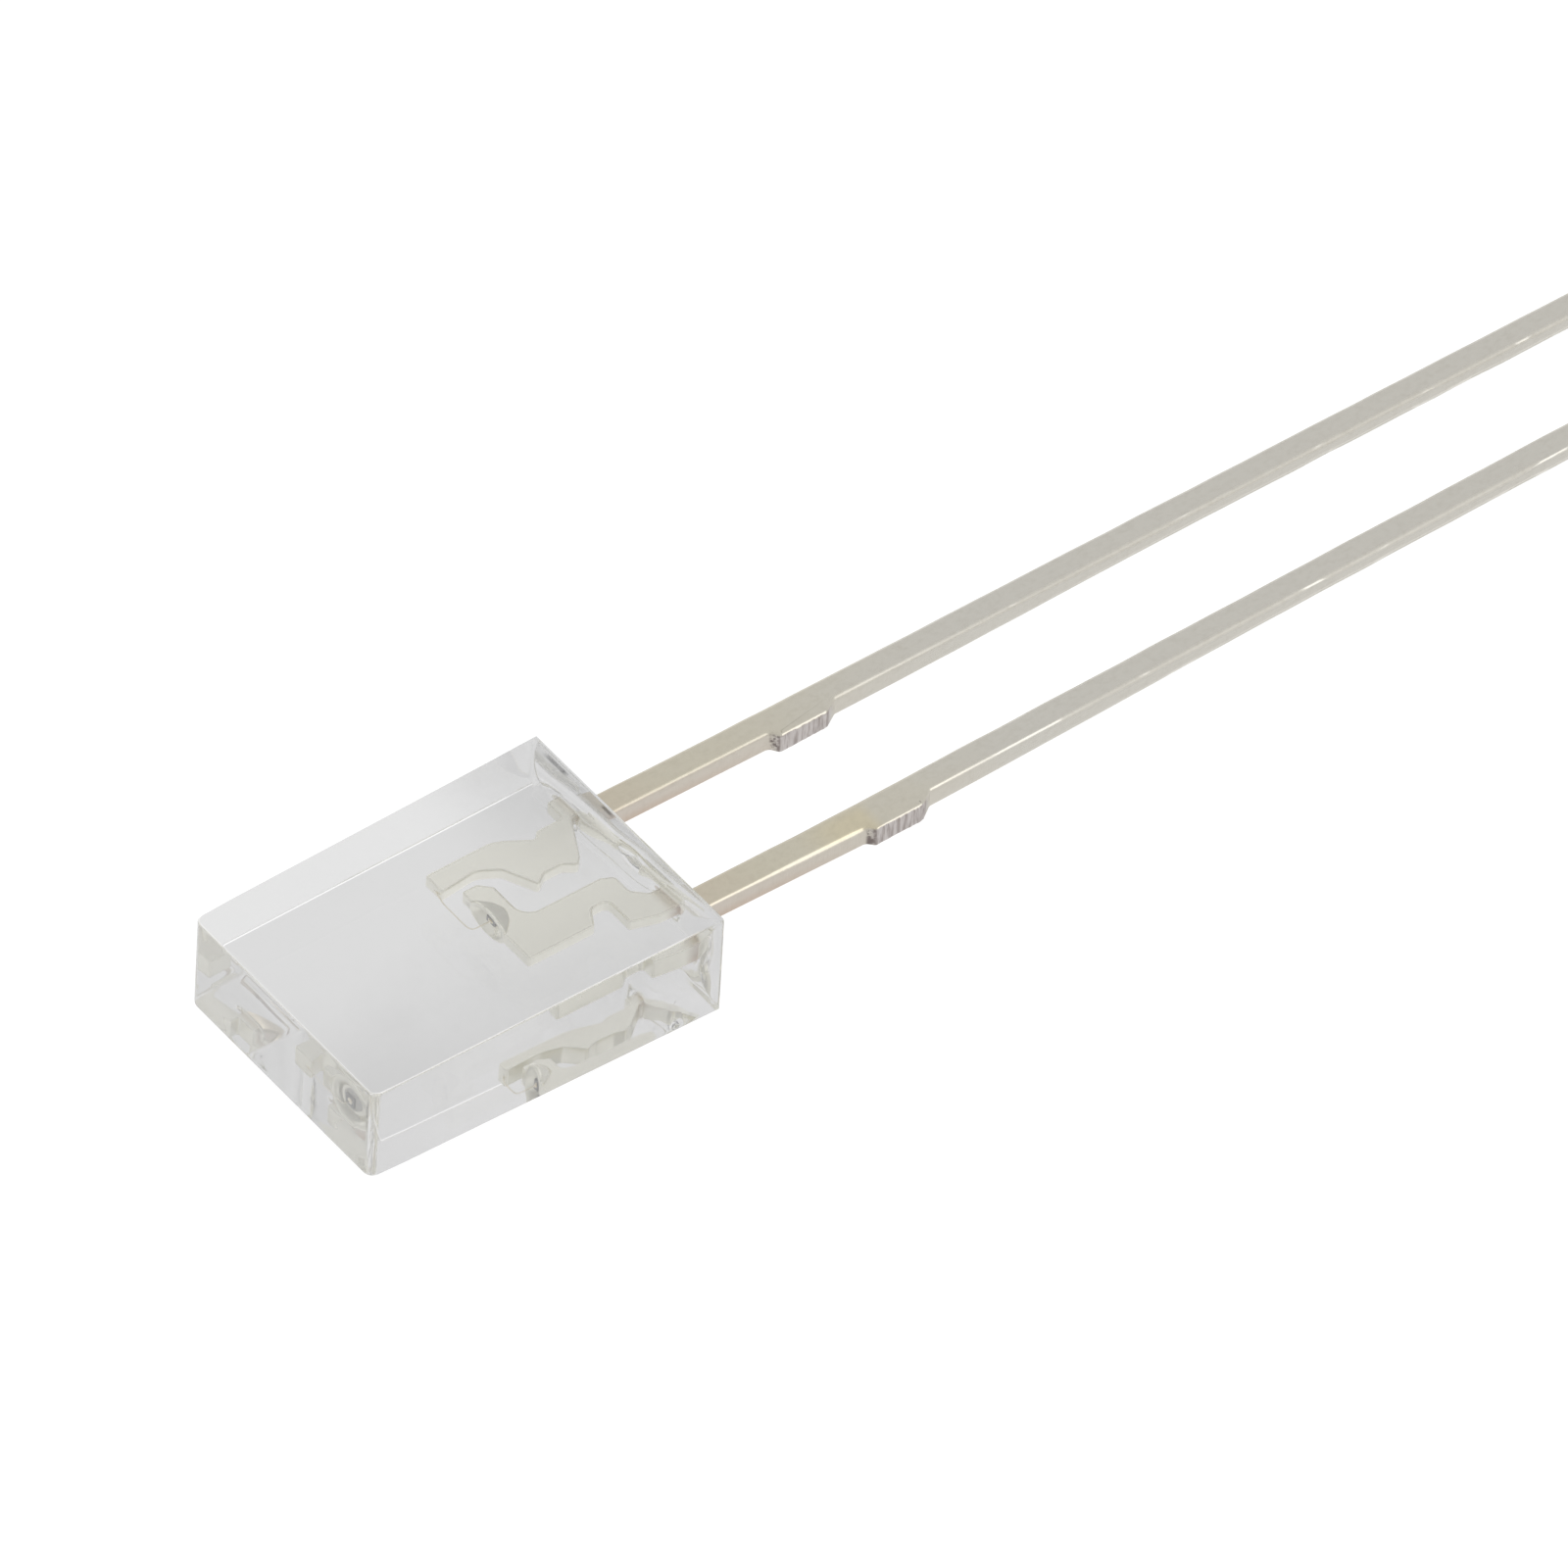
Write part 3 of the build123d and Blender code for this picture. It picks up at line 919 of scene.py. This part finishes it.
def wire_tree(finish):
    """Node tree that runs a round wire along the curve it is put on."""
    tree = bpy.data.node_groups.new("wire_along_path", "GeometryNodeTree")
    face = tree.interface
    face.new_socket("Geometry", in_out="INPUT", socket_type="NodeSocketGeometry")
    face.new_socket("Geometry", in_out="OUTPUT", socket_type="NodeSocketGeometry")
    radius = face.new_socket("Wire radius", in_out="INPUT", socket_type="NodeSocketFloat")
    points = face.new_socket("Points along", in_out="INPUT", socket_type="NodeSocketInt")
    nodes = Recipe(tree)
    start = nodes.add("NodeGroupInput")
    end = nodes.add("NodeGroupOutput")
    path = nodes.add(
        "GeometryNodeResampleCurve", None,
        {"Curve": nodes.term(start, "Geometry"), "Count": nodes.term(start, "Points along")},
    )
    ring = nodes.add(
        "GeometryNodeCurvePrimitiveCircle", None,
        {"Resolution": 14, "Radius": nodes.term(start, "Wire radius")},
    )
    tube = nodes.add(
        "GeometryNodeCurveToMesh", None,
        {"Curve": nodes.term(path), "Profile Curve": nodes.term(ring), "Fill Caps": True},
    )
    real = nodes.add("GeometryNodeRealizeInstances", None, {"Geometry": nodes.term(tube)})
    done = nodes.add(
        "GeometryNodeSetMaterial", None, {"Geometry": nodes.term(real), "Material": finish}
    )
    tree.links.new(done.outputs[0], end.inputs[0])
    return tree, radius.identifier, points.identifier


def wire_mesh(die, height, finish):
    """Wire from the chip forwards in a loop and on to the post's tip."""
    route = [
        (0.0, -2.75), (0.0, -3.00), (-0.015, -3.095), (-0.12, -3.135), (-0.45, -3.13), (-0.72, -3.13),
        (-0.86, -3.10), (-1.02, -3.065), (-1.10, -3.035),
    ]
    curve = bpy.data.curves.new("wire_route", "CURVE")
    curve.dimensions = "3D"
    spline = curve.splines.new("NURBS")
    spline.points.add(len(route) - 1)
    for point, (x, y) in zip(spline.points, route):
        point.co = (x * MM, y * MM, height, 1.0)
    spline.order_u = 3
    spline.use_endpoint_u = True
    spline.resolution_u = 12

    def prepare(work):
        tree, radius, points = wire_tree(finish)
        step = work.modifiers.new("wire", "NODES")
        step.node_group = tree
        step[radius] = die.wire / 2
        step[points] = 90

    return evaluated(curve, prepare)


def ball_mesh(height):
    """Squashed ball on the chip's pad."""
    profile = [
        (0.0, -2.741), (0.030, -2.741), (0.045, -2.75), (0.042, -2.76), (0.024, -2.768), (0.0, -2.77),
    ]
    return lathe(softened(profile, [0, 0.006, 0.008, 0.008, 0.004, 0], steps=3), height, turns=28)


def pad_mesh(height):
    """Round metal pad on the chip's front."""
    profile = [(0.0, -2.739), (0.062, -2.739), (0.060, -2.742), (0.0, -2.742)]
    return lathe(profile, height, turns=28)


def merged(*meshes):
    """One mesh out of several shells."""
    work = bmesh.new()
    for mesh in meshes:
        work.from_mesh(mesh)
    result = bpy.data.meshes.new("merged")
    work.to_mesh(result)
    work.free()
    for face in result.polygons:
        face.use_smooth = True
    result.set_sharp_from_angle(angle=math.radians(35))
    return result


class DIODE_OT_chip_and_wire(bpy.types.Operator):
    """Build the chip, its adhesive and its gold wire"""

    bl_idname = "diode.chip_and_wire"
    bl_label = "Chip and wire"

    def execute(self, context):
        die = context.scene.diode_die
        height = context.scene.diode_strip.rise
        gold = gold_finish(die)
        make_piece("chip", chip_mesh(die, height), chip_finish(die), "semiconductor", "led_chip")
        make_piece("chip_pad", pad_mesh(height), gold, "gold_wire")
        make_piece("adhesive", paste_mesh(die, height), paste_finish(die), "silver_adhesive", "die_attach")
        wire = merged(wire_mesh(die, height, gold), ball_mesh(height))
        make_piece("gold_wire", wire, gold, "gold_wire", "bond_wire")
        return {"FINISHED"}


# Camera, floor and light

def floor_finish(tone):
    """Pale matt floor: near white to the camera, and clear to what looks through or mirrors."""
    recipe, shader, material = surface("pale_floor")
    output = material.node_tree.nodes["Material Output"]
    position, _ = recipe.place()
    cloud = recipe.grain(position, (0.004, 0.004, 0.004), 2.0)
    cloudy = opaque((tone * 0.97, tone * 0.97, tone * 0.96))
    feed(recipe, shader, Base_Color=recipe.blend(cloud, grey(tone), cloudy), Roughness=0.9)
    rays = recipe.add("ShaderNodeLightPath")
    seen = recipe.term(rays, "Is Camera Ray")
    through = recipe.term(rays, "Is Transmission Ray")
    glossy = recipe.term(rays, "Is Glossy Ray")
    glow = recipe.add("ShaderNodeEmission", None, {"Strength": 0.86})
    pale = recipe.add("ShaderNodeBsdfDiffuse", None, {"Color": grey(0.28)})
    lit = recipe.add("ShaderNodeAddShader", None, {0: recipe.term(glow), 1: recipe.term(pale)})
    open_air = recipe.add("ShaderNodeBsdfTransparent")
    passing = (through + glossy).step(0.0, 1.0)
    other = recipe.add(
        "ShaderNodeMixShader", None,
        {0: passing, 1: Term(recipe, shader.outputs[0]), 2: recipe.term(open_air)},
    )
    mixed = recipe.add(
        "ShaderNodeMixShader", None, {0: seen, 1: recipe.term(other), 2: recipe.term(lit)}
    )
    material.node_tree.links.new(mixed.outputs[0], output.inputs[0])
    return material


def soft_lamp(name, direction, distance, side, watts, mirrored=True):
    """Square soft lamp that shines on the object from a direction and isn't seen through the resin."""
    lamp = bpy.data.lights.new(name, "AREA")
    lamp.shape = "SQUARE"
    lamp.size = side
    lamp.energy = watts
    holder = bpy.data.objects.new(name, lamp)
    holder.location = Vector(direction).normalized() * distance
    holder.rotation_euler = (-Vector(direction)).to_track_quat("-Z", "Y").to_euler()
    holder.visible_camera = False
    holder.visible_glossy = mirrored
    holder.visible_transmission = False
    bpy.context.scene.collection.objects.link(holder)


def room_light(settings):
    """World: white to the camera, a soft pale room to the resin and the metal."""
    world = bpy.data.worlds.new("room")
    bpy.context.scene.world = world
    world.use_nodes = True
    recipe = Recipe(world.node_tree)
    background = world.node_tree.nodes["Background"]
    where = recipe.term(recipe.add("ShaderNodeTexCoord"), "Generated")
    parts = recipe.add("ShaderNodeSeparateXYZ", None, {0: where})
    across, along, up = [recipe.term(parts, axis) for axis in range(3)]
    rays = recipe.add("ShaderNodeLightPath")
    seen = recipe.term(rays, "Is Camera Ray")
    matt = recipe.term(rays, "Is Diffuse Ray")
    below = 1.0 - up.step(-0.35, 0.35)
    right = across.step(-0.35, 0.35)
    front = 1.0 - along.step(-0.55, 0.15)
    band = (1.0 - abs(across).step(0.25, 0.40)) * (1.0 - up.step(-0.80, -0.72)) * along.step(0.30, 0.42)
    room = settings.room_back + below * right * settings.room_right
    level = (1.0 - across.step(-0.85, -0.65)) * (1.0 - abs(up).step(0.25, 0.45))
    room = room + band * settings.room_low + level * settings.room_left
    room = room * (1.0 - front * settings.room_front)
    indoors = room + (settings.room_matt - room) * matt
    strength = indoors + (1.0 - indoors) * seen
    recipe.tree.links.new(strength.socket, background.inputs["Strength"])
    background.inputs["Color"].default_value = grey(1.0)


class DIODE_OT_stage(bpy.types.Operator):
    """Set up the camera, the floor and the soft light"""

    bl_idname = "diode.stage"
    bl_label = "Stage"

    def execute(self, context):
        settings = context.scene.diode_stage
        scene = context.scene
        camera = bpy.data.cameras.new("photo_camera")
        camera.lens = settings.lens
        camera.sensor_width = 36.0
        camera.clip_start = 0.05
        camera.clip_end = 10.0
        holder = bpy.data.objects.new("photo_camera", camera)
        scene.collection.objects.link(holder)
        level = math.cos(settings.elevation)
        back = Vector((
            math.sin(settings.azimuth) * level,
            -math.cos(settings.azimuth) * level,
            math.sin(settings.elevation),
        ))
        aim = Vector((-0.1506, 3.2524, 0.0)) * MM
        holder.rotation_mode = "QUATERNION"
        facing = (-back).to_track_quat("-Z", "Y").to_matrix()
        holder.rotation_quaternion = (facing @ Matrix.Rotation(settings.roll, 3, "Z")).to_quaternion()
        holder.location = aim + back * settings.distance
        scene.camera = holder

        # the diode lies on the rim's lower edge and its longer lead's tip
        block = context.scene.diode_block
        strip = context.scene.diode_strip
        rim_height = -block.thickness / 2
        slope = (strip.rise - strip.sheet / 2 - rim_height) / (ANODE_LENGTH * MM)
        half = 3.0
        gap = 0.002 * MM
        corners = []
        for x, y in ((-half, -half), (half, -half), (half, half), (-half, half)):
            corners.append((x, y, rim_height + y * slope - gap))
        mesh = bpy.data.meshes.new("floor")
        mesh.from_pydata(corners, [], [(0, 1, 2, 3)])
        mesh.materials.append(floor_finish(settings.floor_tone))
        floor = bpy.data.objects.new("floor", mesh)
        scene.collection.objects.link(floor)

        soft_lamp(
            "ridge_lamp", direction=(0.80, 0.45, 0.40), distance=0.35, side=0.23,
            watts=settings.ridge_lamp,
        )
        soft_lamp(
            "overhead_lamp", direction=(-0.35, 0.30, 0.88), distance=0.40, side=0.30,
            watts=settings.overhead_lamp, mirrored=False,
        )
        room_light(settings)
        scene.view_settings.view_transform = "Standard"
        scene.cycles.max_bounces = 24
        scene.cycles.transmission_bounces = 20
        scene.cycles.glossy_bounces = 12
        return {"FINISHED"}


class DIODE_PT_panel(bpy.types.Panel):
    """Sizes, colours and building steps of the diode"""

    bl_idname = "DIODE_PT_panel"
    bl_label = "Light-emitting diode"
    bl_space_type = "VIEW_3D"
    bl_region_type = "UI"
    bl_category = "Diode"

    def draw(self, context):
        for group_name, operators in GROUPS:
            box = self.layout.box()
            group = getattr(context.scene, group_name)
            for key in group.__annotations__:
                box.prop(group, key)
            for operator in operators:
                box.operator(operator)


GROUPS = (
    ("diode_block", ("diode.resin_block",)),
    ("diode_strip", ("diode.stamped_leads",)),
    ("diode_die", ("diode.chip_and_wire",)),
    ("diode_stage", ("diode.stage",)),
)

CLASSES = (
    DiodeBlockSettings,
    DiodeStripSettings,
    DiodeDieSettings,
    DiodeStageSettings,
    DIODE_OT_resin_block,
    DIODE_OT_stamped_leads,
    DIODE_OT_chip_and_wire,
    DIODE_OT_stage,
    DIODE_PT_panel,
)


def register():
    for one in CLASSES:
        bpy.utils.register_class(one)
    scene_type = bpy.types.Scene
    scene_type.diode_block = bpy.props.PointerProperty(type=DiodeBlockSettings)
    scene_type.diode_strip = bpy.props.PointerProperty(type=DiodeStripSettings)
    scene_type.diode_die = bpy.props.PointerProperty(type=DiodeDieSettings)
    scene_type.diode_stage = bpy.props.PointerProperty(type=DiodeStageSettings)


def unregister():
    for name in ("diode_block", "diode_strip", "diode_die", "diode_stage"):
        delattr(bpy.types.Scene, name)
    for one in reversed(CLASSES):
        bpy.utils.unregister_class(one)


def main():
    register()
    bpy.ops.diode.resin_block()
    bpy.ops.diode.stamped_leads()
    bpy.ops.diode.chip_and_wire()
    bpy.ops.diode.stage()


if __name__ == "__main__":
    main()
